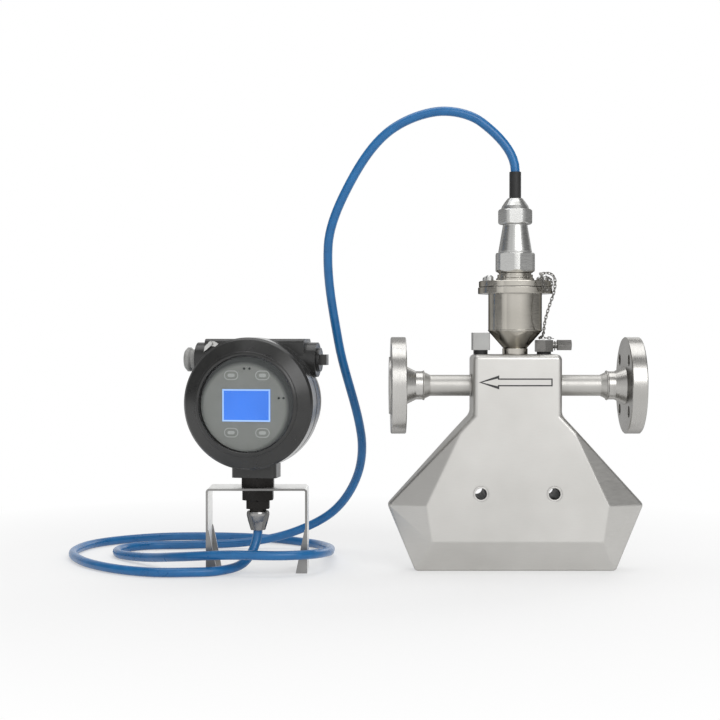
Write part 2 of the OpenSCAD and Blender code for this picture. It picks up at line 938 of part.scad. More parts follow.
// One link, lying in the XZ plane with its length along Z
module chain_link() {
    rotate([90, 90, 0])
        linear_extrude(chain_wire, center = true)
            difference() {
                oval(link_l, link_w);
                oval(link_l - 2 * chain_wire, link_w - 2 * chain_wire);
            }
}

// Wire ring of a given inner diameter
module wire_ring(inner_d) {
    rotate_extrude()
        translate([(inner_d + chain_wire) / 2, 0])
            circle(d = chain_wire, $fn = 24);
}

// Chain from a ring under a plate screw to a ring on the purge valve's nipple
module cap_chain() {
    path = smooth_route(chain_path, 6, unit([1, -2, 0]), unit([1, -1, -1]));
    lengths = line_lengths(path);
    normals = line_sides(path, [0, 0, 1]);
    count = floor((lengths[len(path) - 1] - link_l) / link_pitch);
    screw_a = screw_angles[len(screw_angles) - 1];
    color(stainless) {
        for (i = [0 : count]) {
            s = link_l / 2 + i * link_pitch;
            at = line_at(path, lengths, s);
            dir = unit(line_at(path, lengths, s + link_pitch / 2)
                - line_at(path, lengths, s - link_pitch / 2));
            side = line_at(normals, lengths, s);
            u = unit(side - (side * dir) * dir);
            v = cross(dir, u);
            multmatrix([
                [u[0], v[0], dir[0], at[0]],
                [u[1], v[1], dir[1], at[1]],
                [u[2], v[2], dir[2], at[2]]
            ])
                rotate([0, 0, i % 2 == 0 ? 0 : 90])
                    chain_link();
        }
        rotate([0, 0, screw_a])
            translate([screw_circle_d / 2, 0, boss_z + chain_wire / 2])
                wire_ring(screw_head_d + 0.2);
        translate([nipple_end - 2.8, 0, nipple_z - 0.8])
            rotate([0, 90, 0])
                wire_ring(nipple_d + 2);
    }
}

// ---------------------------------------------------------------- connector, fixed half

module connector_cup() {
    cone_top = cup_foot_h + cup_cone_h;
    inner_d = cup_d - 2 * cup_wall;
    lip = 0.4;
    color(stainless)
        translate([0, 0, neck_top_z])
            difference() {
                rotate_extrude()
                    polygon([
                        [feed_hole_d / 2, 0],
                        [cup_foot_d / 2, 0],
                        [cup_foot_d / 2, cup_foot_h],
                        [cup_cone_d / 2, cup_foot_h],
                        [cup_d / 2 + lip, cone_top],
                        [cup_d / 2 + lip, cone_top + 2 * lip],
                        [cup_d / 2, cone_top + 3 * lip],
                        [cup_d / 2, cup_h - cup_flange_t],
                        [cup_flange_d / 2 - lip, cup_h - cup_flange_t],
                        [cup_flange_d / 2, cup_h - cup_flange_t + lip],
                        [cup_flange_d / 2, cup_h - lip],
                        [cup_flange_d / 2 - lip, cup_h],
                        [inner_d / 2, cup_h],
                        [inner_d / 2, cone_top + 2],
                        [feed_hole_d / 2, cup_foot_h + 4]
                    ]);
                at_screws()
                    translate([0, 0, cup_h - cup_flange_t - over])
                        cylinder(d = screw_d + 0.1, h = cup_flange_t + 2 * over);
            }
}

// Places children at each screw of the receptacle's plate
module at_screws() {
    for (a = screw_angles)
        rotate([0, 0, a])
            translate([screw_circle_d / 2, 0, 0])
                children();
}

module receptacle_gasket() {
    color(black_rubber)
        translate([0, 0, cup_top_z])
            difference() {
                tube(plate_d - 1.5, cup_d - 2 * cup_wall, plate_gasket_t);
                at_screws()
                    translate([0, 0, -over])
                        cylinder(d = screw_d + 0.4, h = plate_gasket_t + 2 * over);
            }
}

module receptacle_flange() {
    edge = 0.8;
    plate_top = plate_t;
    boss_top = plate_top + boss_h;
    collar_top = boss_top + collar_h;
    color(stainless)
        translate([0, 0, plate_z])
            difference() {
                rotate_extrude()
                    polygon([
                        [insert_bore_d / 2, 0],
                        [plate_d / 2, 0],
                        [plate_d / 2, plate_top - edge],
                        [plate_d / 2 - edge, plate_top],
                        [boss_d / 2, plate_top],
                        [boss_d / 2, boss_top - edge],
                        [boss_d / 2 - edge, boss_top],
                        [collar_d / 2, boss_top],
                        [collar_d / 2, collar_top],
                        [groove_d / 2, collar_top],
                        [groove_d / 2, barrel_z - plate_z],
                        [barrel_d / 2, barrel_z - plate_z + edge],
                        [barrel_d / 2, barrel_top_z - plate_z],
                        [insert_bore_d / 2, barrel_top_z - plate_z]
                    ]);
                at_screws()
                    translate([0, 0, -over])
                        cylinder(d = screw_d + 0.4, h = plate_t + 2 * over);
            }
}

module receptacle_screws() {
    shank_l = cup_flange_t + plate_gasket_t + plate_t - 1;
    head_h = 6.2;
    dome_h_screw = 2.2;
    color(stainless)
        translate([0, 0, boss_z])
            at_screws() {
                translate([0, 0, -shank_l])
                    cylinder(d = screw_d, h = shank_l);
                rotate_extrude()
                    polygon([
                        [0, 0],
                        [screw_head_d / 2, 0],
                        [screw_head_d / 2, head_h - dome_h_screw],
                        [screw_head_d / 2 * 0.86, head_h - dome_h_screw / 2],
                        [screw_head_d / 2 * 0.55, head_h],
                        [0, head_h]
                    ]);
            }
}

// Places children at each contact of the connector
module at_pins() {
    children();
    for (i = [0 : pin_count - 1])
        rotate([0, 0, i * 360 / pin_count])
            translate([pin_ring_d / 2, 0, 0])
                children();
}

module receptacle_insert() {
    color(black_rubber)
        difference() {
            translate([0, 0, plate_z])
                cylinder(d = insert_bore_d - insert_gap, h = insert_face_z - plate_z);
            at_pins()
                translate([0, 0, plate_z - over])
                    cylinder(d = pin_d + insert_gap, h = insert_face_z - plate_z + 2 * over, $fn = 24);
        }
}

module receptacle_pins() {
    tail = 5;
    reach = 8;
    color(copper)
        at_pins()
            translate([0, 0, plate_z - tail])
                cylinder(d = pin_d, h = insert_face_z - plate_z + tail + reach, $fn = 24);
}

// ---------------------------------------------------------------- connector, cable half

module coupling_nut() {
    thread_h = barrel_top_z + plug_flange_t + stop_gap - coupling_z;
    color(stainless)
        translate([0, 0, coupling_z])
            difference() {
                hex_bar(coupling_af, coupling_h, 1.8, coupling_af * 1.078);
                translate([0, 0, -over])
                    cylinder(d = barrel_d + 2 * running, h = thread_h + over);
                translate([0, 0, -over])
                    cylinder(d = plug_neck_d + 2 * running, h = coupling_h + 2 * over);
            }
}

module plug_body() {
    wire_bore_d = 22;
    flange_z = barrel_top_z;
    color(stainless)
        rotate_extrude()
            polygon([
                [wire_bore_d / 2, flange_z],
                [barrel_d / 2 - 0.2, flange_z],
                [barrel_d / 2 - 0.2, flange_z + plug_flange_t],
                [plug_neck_d / 2, flange_z + plug_flange_t],
                [plug_neck_d / 2, shell_cone_z],
                [plug_neck_d / 2 + 0.6, shell_cone_z],
                [plug_neck_d / 2 + 0.6, shell_cone_z + 2],
                [shell_top_d / 2, clamp_z - 2],
                [shell_top_d / 2, clamp_z],
                [clamp_thread_d / 2, clamp_z],
                [clamp_thread_d / 2, clamp_z + clamp_thread_h],
                [wire_bore_d / 2, clamp_z + clamp_thread_h]
            ]);
}

module plug_insert() {
    color(black_rubber)
        translate([0, 0, insert_face_z + stop_gap])
            difference() {
                cylinder(
                    d = insert_bore_d - insert_gap,
                    h = barrel_top_z - insert_face_z - stop_gap
                );
                at_pins()
                    translate([0, 0, -over])
                        cylinder(d = pin_d + insert_gap, h = 9 + over, $fn = 24);
            }
}

// Hexagonal nut with a domed top that squeezes the seal onto the cable
module plug_clamp_nut() {
    dome_z = clamp_hex_h;
    seal_room_d = clamp_thread_d + 2 * insert_gap;
    color(stainless)
        translate([0, 0, clamp_z])
            difference() {
                union() {
                    rotate([0, 0, 27])
                        hex_bar(clamp_af, clamp_hex_h, 1.6, clamp_af * 1.078);
                    rotate_extrude()
                        polygon([
                            [0, dome_z - 1],
                            [dome_base_d / 2, dome_z - 1],
                            [dome_base_d / 2, dome_z],
                            [dome_base_d / 2 - 1.6, dome_z + 4],
                            [dome_base_d / 2 - 4.6, dome_z + 8.5],
                            [dome_top_d / 2 + 1, dome_z + dome_h - 0.6],
                            [dome_top_d / 2, dome_z + dome_h],
                            [0, dome_z + dome_h]
                        ]);
                }
                translate([0, 0, -over])
                    cylinder(d = seal_room_d, h = clamp_thread_h + 0.1 + over);
                translate([0, 0, clamp_thread_h])
                    cylinder(d = seal_room_d - 8, h = plug_seal_h + 0.4);
                cylinder(d = cable_hole_d, h = dome_z + dome_h + over);
            }
}

module plug_seal() {
    color(black_rubber)
        translate([0, 0, plug_seal_z])
            tube(clamp_thread_d - 8.2, seal_bore_d, plug_seal_h);
}

// Black sleeve round the cable where it leaves the plug
module cable_boot() {
    color(black_rubber)
        translate([0, 0, boot_z])
            tube(boot_d, cable_hole_d, boot_l);
}

// ---------------------------------------------------------------- cable

module signal_cable() {
    down = [0, 0, -1];
    line = concat(
        [[transmitter_x, 0, gland_seal_z]],
        smooth_route(cable_route, cable_steps, down, down),
        [[0, 0, plug_seal_z + plug_seal_h]]
    );
    color(cable_blue)
        swept_tube(line, cable_d, 0, cable_sides, [1, 0, 0]);
}

// ---------------------------------------------------------------- gland and bracket

// Places children on the transmitter's upright neck axis
module on_neck() {
    translate([transmitter_x, 0, 0])
        children();
}

module gland_seal() {
    color(black_rubber)
        on_neck()
            translate([0, 0, gland_seal_z])
                tube(gland_thread_d, seal_bore_d, gland_seal_h);
}

module gland_nut() {
    shoulder = gland_nut_h * 0.8;
    color(dull_steel)
        on_neck()
            translate([0, 0, gland_mouth_z])
                difference() {
                    rotate_extrude()
                        polygon([
                            [0, 0],
                            [gland_mouth_d / 2, 0],
                            [gland_nut_d / 2 - 1.6, shoulder * 0.6],
                            [gland_nut_d / 2, shoulder],
                            [gland_nut_d / 2, gland_nut_h - 2],
                            [gland_nut_d / 2 - 0.8, gland_nut_h],
                            [0, gland_nut_h]
                        ]);
                    translate([0, 0, gland_seal_z - gland_mouth_z])
                        cylinder(d = gland_thread_d + 0.2, h = gland_nut_h);
                    translate([0, 0, -over])
                        cylinder(d = cable_hole_d, h = gland_nut_h);
                }
}

module gland_body() {
    lower_z = gland_seal_z + gland_seal_h;
    upper_l = 10;
    color(dull_steel)
        on_neck()
            difference() {
                union() {
                    translate([0, 0, lower_z])
                        cylinder(d = gland_thread_d, h = stub_end_z + upper_l - lower_z);
                    translate([0, 0, gland_hex_z])
                        hex_bar(gland_af, gland_hex_h, 0.8);
                }
                translate([0, 0, lower_z - over])
                    cylinder(d = cable_hole_d, h = stub_end_z + upper_l - lower_z + 2 * over);
            }
}

// Hexagonal fitting that ties housing, bracket and gland together
module neck_adaptor() {
    color(dull_steel)
        on_neck()
            difference() {
                union() {
                    translate([0, 0, bracket_h])
                        hex_bar(adaptor_af, adaptor_h, 1);
                    translate([0, 0, stub_end_z])
                        cylinder(d = stub_d, h = bracket_h - stub_end_z + over);
                    translate([0, 0, neck_boss_z - over])
                        cylinder(d = spigot_d, h = spigot_h + over);
                }
                translate([0, 0, stub_end_z - over])
                    cylinder(d = adaptor_bore_d, h = neck_boss_z + spigot_h - stub_end_z + 2 * over);
            }
}

module bracket_lock_nut() {
    color(dull_steel)
        on_neck()
            translate([0, 0, lock_nut_z])
                difference() {
                    hex_bar(lock_nut_af, lock_nut_h, 1);
                    translate([0, 0, -over])
                        cylinder(d = stub_d + 0.1, h = lock_nut_h + 2 * over);
                }
}

// Upright rectangle that stands on the floor, with only its top corners rounded
module bracket_outline(w, h, r) {
    translate([-w / 2, 0])
        square([w, h - r]);
    translate([-w / 2 + r, 0])
        square([w - 2 * r, h]);
    for (side = [-1, 1])
        translate([side * (w / 2 - r), h - r])
            circle(r = r);
}

module bracket() {
    bend_r = 4;
    wing_h = 54;
    wing_top_w = 3.5;
    color(dull_steel)
        on_neck()
            difference() {
                union() {
                    rotate([90, 0, 0])
                        linear_extrude(bracket_depth, center = true)
                            difference() {
                                bracket_outline(bracket_w, bracket_h, bend_r);
                                translate([0, -over])
                                    bracket_outline(
                                        bracket_w - 2 * sheet_t,
                                        bracket_h - sheet_t + over,
                                        bend_r - sheet_t
                                    );
                            }
                    for (sx = [0, 1], sy = [0, 1])
                        mirror([sx, 0, 0])
                            mirror([0, sy, 0])
                                translate([bracket_w / 2, sheet_t - bracket_depth / 2, 0])
                                    rotate([90, 0, 0])
                                        linear_extrude(sheet_t)
                                            polygon([
                                                [-sheet_t / 2, 0],
                                                [-wing_w - 1.5, 0],
                                                [-wing_top_w, wing_h - 4],
                                                [-sheet_t / 2, wing_h]
                                            ]);
                }
                translate([0, 0, plate_under_z - over])
                    cylinder(d = stub_hole_d, h = sheet_t + 2 * over);
            }
}

// ---------------------------------------------------------------- transmitter

// Places children in the housing's own frame: X right, Y up, Z out of the display
module on_housing() {
    translate([transmitter_x, 0, housing_z])
        rotate([0, 0, -transmitter_yaw])
            rotate([90, 0, 0])
                children();
}

module transmitter_housing() {
    color(black_paint)
        difference() {
            union() {
                on_housing() {
                    housing_barrel();
                    housing_crossbar();
                }
                translate([transmitter_x, 0, 0])
                    rotate([0, 0, -transmitter_yaw])
                        housing_foot();
            }
            on_housing() {
                housing_cavities();
                housing_conduits();
            }
            translate([transmitter_x, 0, neck_boss_z - over])
                cylinder(d = spigot_d + 0.2, h = spigot_h + 20);
        }
}

module housing_barrel() {
    rotate_extrude()
        polygon([
            [0, -housing_back],
            [rear_d / 2, -housing_back],
            [rear_d / 2, housing_flange_back - 8],
            [cover_d / 2 - 2, housing_flange_back],
            [cover_d / 2, housing_flange_back + 2],
            [cover_d / 2, housing_flange_front],
            [0, housing_flange_front]
        ]);
}

// Cross-member over the barrel, with a round boss at each end
module housing_crossbar() {
    bar_y = conduit_y + 3;
    rotate([0, 90, 0])
        linear_extrude(crossbar_w, center = true)
            translate([0, bar_y])
                round_rect(crossbar_depth, crossbar_h, crossbar_r);
    translate([0, conduit_y, 0])
        rotate([0, 90, 0])
            cylinder(d = conduit_d, h = 2 * conduit_end, center = true);
}

// Boss under the barrel that takes the neck adaptor, flat in front and round behind
module housing_foot() {
    corner = 6;
    side = neck_boss_w / 2 - corner;
    front = housing_flange_front;
    translate([0, 0, neck_boss_z])
        linear_extrude(housing_z - cover_d / 2 + 14 - neck_boss_z) {
            intersection() {
                circle(d = neck_boss_w);
                translate([-neck_boss_w / 2, -1])
                    square(neck_boss_w);
            }
            translate([-neck_boss_w / 2, corner - front])
                square([neck_boss_w, front - corner]);
            translate([-side, -front])
                square([2 * side, front]);
            for (x = [-side, side])
                translate([x, corner - front])
                    circle(r = corner);
        }
}

module housing_cavities() {
    translate([0, 0, partition_t / 2])
        cylinder(d = front_cavity_d, h = housing_flange_front);
    translate([0, 0, spigot_back - 2])
        cylinder(d = thread_d, h = housing_flange_front);
    translate([0, 0, -housing_back - over])
        cylinder(d = rear_cavity_d, h = housing_back + over - partition_t / 2);
    translate([0, 0, -housing_back - over])
        cylinder(d = rear_mouth_d, h = rear_spigot_l + 0.5 + over);
}

module housing_conduits() {
    for (side = [-1, 1])
        translate([side * cavity_reach, conduit_y, 0])
            rotate([0, side * 90, 0])
                cylinder(d = conduit_bore_d, h = conduit_end - cavity_reach + over);
}

module front_cover() {
    thread = thread_d / 2 - running;
    inner = front_cavity_d / 2;
    seat = glass_d / 2 + running;
    color(black_paint)
        on_housing()
            rotate_extrude()
                polygon([
                    [inner, spigot_back],
                    [thread, spigot_back],
                    [thread, cover_back],
                    [cover_d / 2 - 1, cover_back],
                    [cover_d / 2, cover_back + 1],
                    [cover_d / 2, cover_shoulder - 2],
                    [cover_d / 2 - 2.5, cover_shoulder + 1],
                    [window_d / 2 + 2.5, cover_front],
                    [window_d / 2 + 0.8, cover_front],
                    [window_d / 2, cover_front - 0.8],
                    [window_d / 2, glass_front],
                    [seat, glass_front],
                    [seat, glass_back - retainer_t],
                    [inner, glass_back - retainer_t - 4]
                ]);
}

module front_cover_seal() {
    color(black_rubber)
        on_housing()
            translate([0, 0, housing_flange_front])
                tube(thread_d + 7.5, thread_d + 1, seal_t);
}

module window_glass() {
    color([0.82, 0.88, 0.90, 0.3])
        on_housing()
            translate([0, 0, glass_back])
                cylinder(d = glass_d, h = glass_t);
}

module window_retaining_ring() {
    color(black_paint)
        on_housing()
            translate([0, 0, glass_back - retainer_t])
                tube(glass_d, window_d + 2, retainer_t);
}

// Oval ring, for the edge of a touch key
module key_ring() {
    line_w = 1;
    difference() {
        oval(key_size[0], key_size[1]);
        oval(key_size[0] - 2 * line_w, key_size[1] - 2 * line_w);
    }
    oval(key_size[0] * 0.5, key_size[1] * 0.36);
}

module display_plate() {
    eyes = [[-3.2, 40.9], [3.2, 40.9], [37.9, 7.1], [43.4, 7.1]];
    color([0.52, 0.52, 0.50])
        on_housing()
            translate([0, 0, display_front - display_t]) {
                difference() {
                    cylinder(d = display_d, h = display_t);
                    for (eye = eyes)
                        translate([eye[0], eye[1], display_t - eye_depth])
                            cylinder(d = eye_d, h = eye_depth + over);
                }
                for (sx = [-1, 1], sy = [-1, 1])
                    translate([sx * key_x, sy * key_y, display_t])
                        linear_extrude(key_h)
                            key_ring();
            }
}

// Blue screen with its pale frame standing a little proud
module lcd_panel() {
    color([0.25, 0.50, 0.98])
        on_housing()
            translate([lcd_offset_x, lcd_offset_y, display_front]) {
                linear_extrude(lcd_t * 0.6)
                    square([lcd_w - 2 * lcd_frame, lcd_h - 2 * lcd_frame], center = true);
                linear_extrude(lcd_t)
                    difference() {
                        square([lcd_w, lcd_h], center = true);
                        square([lcd_w - 2 * lcd_frame, lcd_h - 2 * lcd_frame], center = true);
                    }
            }
}

// Places children at the four board pillars
module at_standoffs() {
    for (a = [45 : 90 : 315])
        rotate([0, 0, a])
            translate([standoff_r, 0, 0])
                children();
}

// Round circuit board with holes for the pillars
module board(d, s) {
    translate([0, 0, s])
        difference() {
            cylinder(d = d, h = board_t);
            at_standoffs()
                translate([0, 0, -over])
                    cylinder(d = standoff_d + 0.1, h = board_t + 2 * over);
        }
}

module display_board() {
    module_t = 4;
    color(board_green)
        on_housing() {
            board(display_d - 10, display_board_s);
            translate([0, 0, display_board_s + board_t + module_t / 2])
                cube([lcd_w, lcd_h, module_t], center = true);
        }
}

module main_board() {
    color(board_green)
        on_housing() {
            board(display_d - 4, main_board_s);
            for (x = [-24, 0, 24])
                translate([x - 7, -10, main_board_s + board_t])
                    cube([14, 18, 4]);
        }
}

module board_standoffs() {
    color(dull_steel)
        on_housing()
            at_standoffs()
                translate([0, 0, partition_t / 2])
                    cylinder(d = standoff_d, h = display_front - display_t - partition_t / 2);
}

module terminal_block() {
    block = [72, 18, 14];
    ways = 8;
    color([0.20, 0.42, 0.30])
        on_housing()
            difference() {
                translate([-block[0] / 2, -block[1] / 2, -partition_t / 2 - block[2]])
                    cube(block);
                for (i = [0 : ways - 1])
                    translate([(i + 0.5) * block[0] / ways - block[0] / 2, 0, -partition_t / 2 - block[2] - over])
                        cylinder(d = 4.5, h = 6 + over, $fn = 24);
            }
}

module rear_cover() {
    back = -housing_back - seat_gap;
    thread = rear_mouth_d / 2 - running;
    color(black_paint)
        on_housing()
            rotate_extrude()
                polygon([
                    [0, back - rear_cap_t],
                    [rear_d / 2 - 14, back - rear_cap_t],
                    [rear_d / 2 - 2, back - rear_cap_t + 4],
                    [rear_d / 2, back - rear_cap_t + 6],
                    [rear_d / 2, back],
                    [thread, back],
                    [thread, rear_spigot_l - housing_back],
                    [thread - 5, rear_spigot_l - housing_back],
                    [thread - 5, back - rear_cap_t + 5],
                    [0, back - rear_cap_t + 5]
                ]);
}

module rear_cover_seal() {
    color(black_rubber)
        on_housing()
            translate([0, 0, -housing_back - seal_t])
                tube(rear_d - 2, rear_mouth_d + 1, seal_t);
}

module left_conduit_plug() {
    head_d = 29;
    head_t = 8;
    neck_l = 7.5;
    color([0.70, 0.70, 0.68])
        on_housing()
            translate([-conduit_end, conduit_y, 0])
                rotate([0, -90, 0]) {
                    translate([0, 0, -18])
                        cylinder(d = conduit_bore_d - 0.2, h = 18);
                    cylinder(d = 24, h = neck_l);
                    translate([0, 0, neck_l])
                        rotate_extrude()
                            polygon([
                                [0, 0], [head_d / 2 - 2, 0], [head_d / 2, 2],
                                [head_d / 2, head_t - 3], [head_d / 2 - 3, head_t], [0, head_t]
                            ]);
                }
}

module right_conduit_plug() {
    collar = 28;
    collar_t = 3.5;
    square_w = 12.5;
    square_l = 8;
    color(black_paint)
        on_housing()
            translate([conduit_end, conduit_y, 0])
                rotate([0, 90, 0]) {
                    translate([0, 0, -18])
                        cylinder(d = conduit_bore_d - 0.2, h = 18);
                    cylinder(d = collar, h = collar_t);
                    translate([-square_w / 2, -square_w / 2, collar_t])
                        cube([square_w, square_w, square_l]);
                }
}

// Hooked clip and screw beside the window cover that stop it from turning loose
module cover_lock() {
    clip_t = 5;
    color([0.85, 0.85, 0.84])
        on_housing()
            translate([9 - crossbar_w / 2, cover_d / 2 - 7.2, crossbar_depth / 2]) {
                linear_extrude(clip_t)
                    polygon([
                        [-8.8, -9.8], [-7.5, -3.3], [-0.5, 3.2], [4.5, 2.5],
                        [9.5, -0.5], [5.5, -3.8], [0, -2.8], [-4.5, -6.8]
                    ]);
                translate([0, 0, clip_t])
                    cylinder(d = 5, h = 3, $fn = 48);
            }
}

// ---------------------------------------------------------------- assembly

front_case_shell();
rear_case_shell();
case_through_sleeves();
flow_arrow();
inlet_flange();
outlet_flange();
inlet_pipe();
outlet_pipe();
inlet_manifold();
outlet_manifold();
front_flow_tube();
rear_flow_tube();
brace_plates();
drive_coil();
drive_magnet();
pickoff_coils();
pickoff_magnets();
temperature_sensor();
sensor_wiring();
purge_plug();
purge_plug_gasket();
purge_valve_body();
purge_valve_gasket();
purge_valve_cap();
cap_chain();
connector_cup();
receptacle_gasket();
receptacle_flange();
receptacle_screws();
receptacle_insert();
receptacle_pins();
coupling_nut();
plug_body();
plug_insert();
plug_clamp_nut();
plug_seal();
cable_boot();
signal_cable();
gland_seal();
gland_nut();
gland_body();
neck_adaptor();
bracket_lock_nut();
bracket();
transmitter_housing();
front_cover();
front_cover_seal();
window_glass();
window_retaining_ring();
display_plate();
lcd_panel();
display_board();
main_board();
board_standoffs();
terminal_block();
rear_cover();
rear_cover_seal();
left_conduit_plug();
right_conduit_plug();
cover_lock();
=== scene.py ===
"""Looks of the remote-mount Coriolis flow meter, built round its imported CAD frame."""

import math

import bpy
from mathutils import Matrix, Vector


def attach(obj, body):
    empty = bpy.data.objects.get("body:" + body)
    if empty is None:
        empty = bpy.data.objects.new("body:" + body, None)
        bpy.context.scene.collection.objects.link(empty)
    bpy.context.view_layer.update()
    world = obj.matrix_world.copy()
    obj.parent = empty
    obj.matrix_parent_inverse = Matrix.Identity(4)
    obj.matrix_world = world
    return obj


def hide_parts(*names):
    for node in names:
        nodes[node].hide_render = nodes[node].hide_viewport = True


MM = 0.001
# Height of an ordinary brushed grain
GRAIN_HEIGHT = 0.01 * MM

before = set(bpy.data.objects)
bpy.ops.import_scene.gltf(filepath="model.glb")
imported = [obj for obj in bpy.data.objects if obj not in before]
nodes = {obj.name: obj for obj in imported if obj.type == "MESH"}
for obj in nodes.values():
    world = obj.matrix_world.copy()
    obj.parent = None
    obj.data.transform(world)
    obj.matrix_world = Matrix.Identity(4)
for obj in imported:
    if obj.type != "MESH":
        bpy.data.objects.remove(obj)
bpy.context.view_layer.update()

# The display's own directions, seen from its front: the housing is turned to the left
YAW = math.radians(10)
outward = Vector((-math.sin(YAW), -math.cos(YAW), 0))
rightward = Vector((math.cos(YAW), -math.sin(YAW), 0))
upward = Vector((0, 0, 1))


def mesh_middle(mesh):
    """Middle of a mesh's box."""
    lows, highs = zip(*((min(c), max(c)) for c in zip(*(v.co for v in mesh.vertices))))
    return (Vector(lows) + Vector(highs)) / 2


# ---------------------------------------------------------------- node helpers


class Shader:
    """A material's node tree, with short calls for the nodes that this scene uses."""

    def __init__(self, name):
        self.material = bpy.data.materials.new(name)
        self.material.use_nodes = True
        self.tree = self.material.node_tree
        self.tree.nodes.clear()
        self.output = self.tree.nodes.new("ShaderNodeOutputMaterial")
        self.place = None

    def node(self, kind, inputs=(), **settings):
        """A new node, with settings, whose inputs are values or other nodes' outputs."""
        made = self.tree.nodes.new("ShaderNode" + kind)
        for key, value in settings.items():
            setattr(made, key, value)
        for socket, value in dict(inputs).items():
            if isinstance(value, bpy.types.NodeSocket):
                self.tree.links.new(value, made.inputs[socket])
            else:
                made.inputs[socket].default_value = value
        return made

    def position(self):
        """Object coordinates, which are metres in the CAD's frame at rest."""
        if self.place is None:
            self.place = self.node("TexCoord").outputs["Object"]
        return self.place

    def stretched(self, scale):
        """Object coordinates scaled by axis, so that a noise becomes a brushed grain."""
        return self.node("Mapping", {"Vector": self.position(), "Scale": scale}).outputs["Vector"]

    def noise(self, scale, vector=None, detail=3.0):
        return self.node(
            "TexNoise",
            {
                "Vector": vector or self.position(),
                "Scale": scale,
                "Detail": detail,
                "Roughness": 0.55,
            },
        ).outputs["Fac"]

    def remap(self, value, low, high, start=0.3, end=0.7):
        """Low to high while value goes from start to end, and level outside."""
        return self.node(
            "MapRange",
            {
                "Value": value,
                "From Min": start,
                "From Max": end,
                "To Min": low,
                "To Max": high,
            },
        ).outputs["Result"]

    def blend(self, factor, a, b):
        """A colour from a to b."""
        made = self.node("Mix", data_type="RGBA")
        self.tree.links.new(factor, made.inputs[0])
        made.inputs[6].default_value = (*a, 1)
        made.inputs[7].default_value = (*b, 1)
        return made.outputs[2]

    def edges(self, radius):
        """Normals that round off sharp edges by a radius in metres."""
        return self.node("Bevel", {"Radius": radius}, samples=6).outputs["Normal"]

    def bump(self, height, distance, normal=None):
        """Normals of a relief whose full height is a distance in metres."""
        inputs = {"Height": height, "Distance": distance, "Strength": 1.0}
        if normal is not None:
            inputs["Normal"] = normal
        return self.node("Bump", inputs).outputs["Normal"]

    def principled(self, inputs):
        """Ends the material in a Principled shader with these inputs."""
        made = self.node("BsdfPrincipled", inputs)
        self.tree.links.new(made.outputs["BSDF"], self.output.inputs["Surface"])
        return self.material


def metal(name, dark, light, rough, grain, edge, grain_height=GRAIN_HEIGHT, rim=0.45):
    """Bare metal: cloudy tone, directional grain in roughness and bump, softened edges.

    grain is the noise scale along each axis, grain_height the bump and edge the radius of the
    softened edges in metres, and rim the tint of the reflections at grazing angles.
    """
    s = Shader(name)
    brushed = s.noise(1.0, s.stretched(grain), detail=4.0)
    cloudy = s.noise(14.0, detail=2.0)
    return s.principled(
        {
            "Base Color": s.blend(s.remap(cloudy, 0, 1), dark, light),
            "Metallic": 1.0,
            "Specular Tint": (rim, rim, rim, 1),
            "Roughness": s.remap(brushed, rough - 0.06, rough + 0.08),
            "Normal": s.bump(brushed, grain_height, normal=s.edges(edge)),
        }
    )


def moulded(name, dark, light, rough, texture_scale, texture_height, edge, coat=0.0):
    """Paint, rubber or plastic: slight mottling and a fine surface texture."""
    s = Shader(name)
    cloudy = s.noise(60.0, detail=3.0)
    texture = s.noise(texture_scale, detail=2.0)
    return s.principled(
        {
            "Base Color": s.blend(s.remap(cloudy, 0, 1), dark, light),
            "Roughness": s.remap(cloudy, rough - 0.04, rough + 0.05),
            "Normal": s.bump(texture, texture_height, normal=s.edges(edge)),
            "Coat Weight": coat,
            "Coat Roughness": 0.2,
        }
    )


# ---------------------------------------------------------------- materials

case_steel = metal(
    "case_steel",
    dark=(0.57, 0.56, 0.537),
    light=(0.63, 0.62, 0.597),
    rough=0.42,
    grain=(90, 90, 1400),
    edge=1.2 * MM,
    grain_height=0.006 * MM,
)
# Near-black steel for the sleeves' bores: painted shade, for the dark inside of the through holes
sleeve_painted_shade = metal(
    "sleeve_painted_shade",
    dark=(0.06, 0.06, 0.058),
    light=(0.12, 0.12, 0.115),
    rough=0.40,
    grain=(400, 30, 400),
    edge=0.3 * MM,
)
turned_steel = metal(
    "turned_steel",
    dark=(0.46, 0.45, 0.43),
    light=(0.54, 0.53, 0.505),
    rough=0.44,
    grain=(1600, 120, 120),
    edge=0.5 * MM,
)
flange_steel = metal(
    "flange_steel",
    dark=(0.43, 0.42, 0.40),
    light=(0.56, 0.55, 0.53),
    rough=0.27,
    grain=(1800, 60, 60),
    edge=0.6 * MM,
)
cup_steel = metal(
    "cup_steel",
    dark=(0.43, 0.41, 0.365),
    light=(0.56, 0.535, 0.485),
    rough=0.14,
    grain=(80, 80, 1700),
    edge=0.5 * MM,
    rim=0.03,
)
bright_steel = metal(
    "bright_steel",
    dark=(0.50, 0.50, 0.49),
    light=(0.63, 0.63, 0.615),
    rough=0.28,
    grain=(60, 60, 1200),
    edge=0.5 * MM,
    grain_height=0.005 * MM,
    rim=0.2,
)
plain_steel = metal(
    "plain_steel",
    dark=(0.33, 0.33, 0.325),
    light=(0.41, 0.41, 0.40),
    rough=0.34,
    grain=(500, 500, 120),
    edge=0.5 * MM,
)
fitting_steel = metal(
    "fitting_steel",
    dark=(0.21, 0.205, 0.195),
    light=(0.31, 0.30, 0.29),
    rough=0.30,
    grain=(120, 600, 600),
    edge=0.4 * MM,
)
chain_steel = metal(
    "chain_steel",
    dark=(0.25, 0.245, 0.235),
    light=(0.40, 0.39, 0.37),
    rough=0.28,
    grain=(500, 500, 500),
    edge=0.2 * MM,
)
bracket_steel = metal(
    "bracket_steel",
    dark=(0.84, 0.84, 0.83),
    light=(0.93, 0.93, 0.91),
    rough=0.34,
    grain=(70, 70, 900),
    edge=0.6 * MM,
    rim=0.9,
)
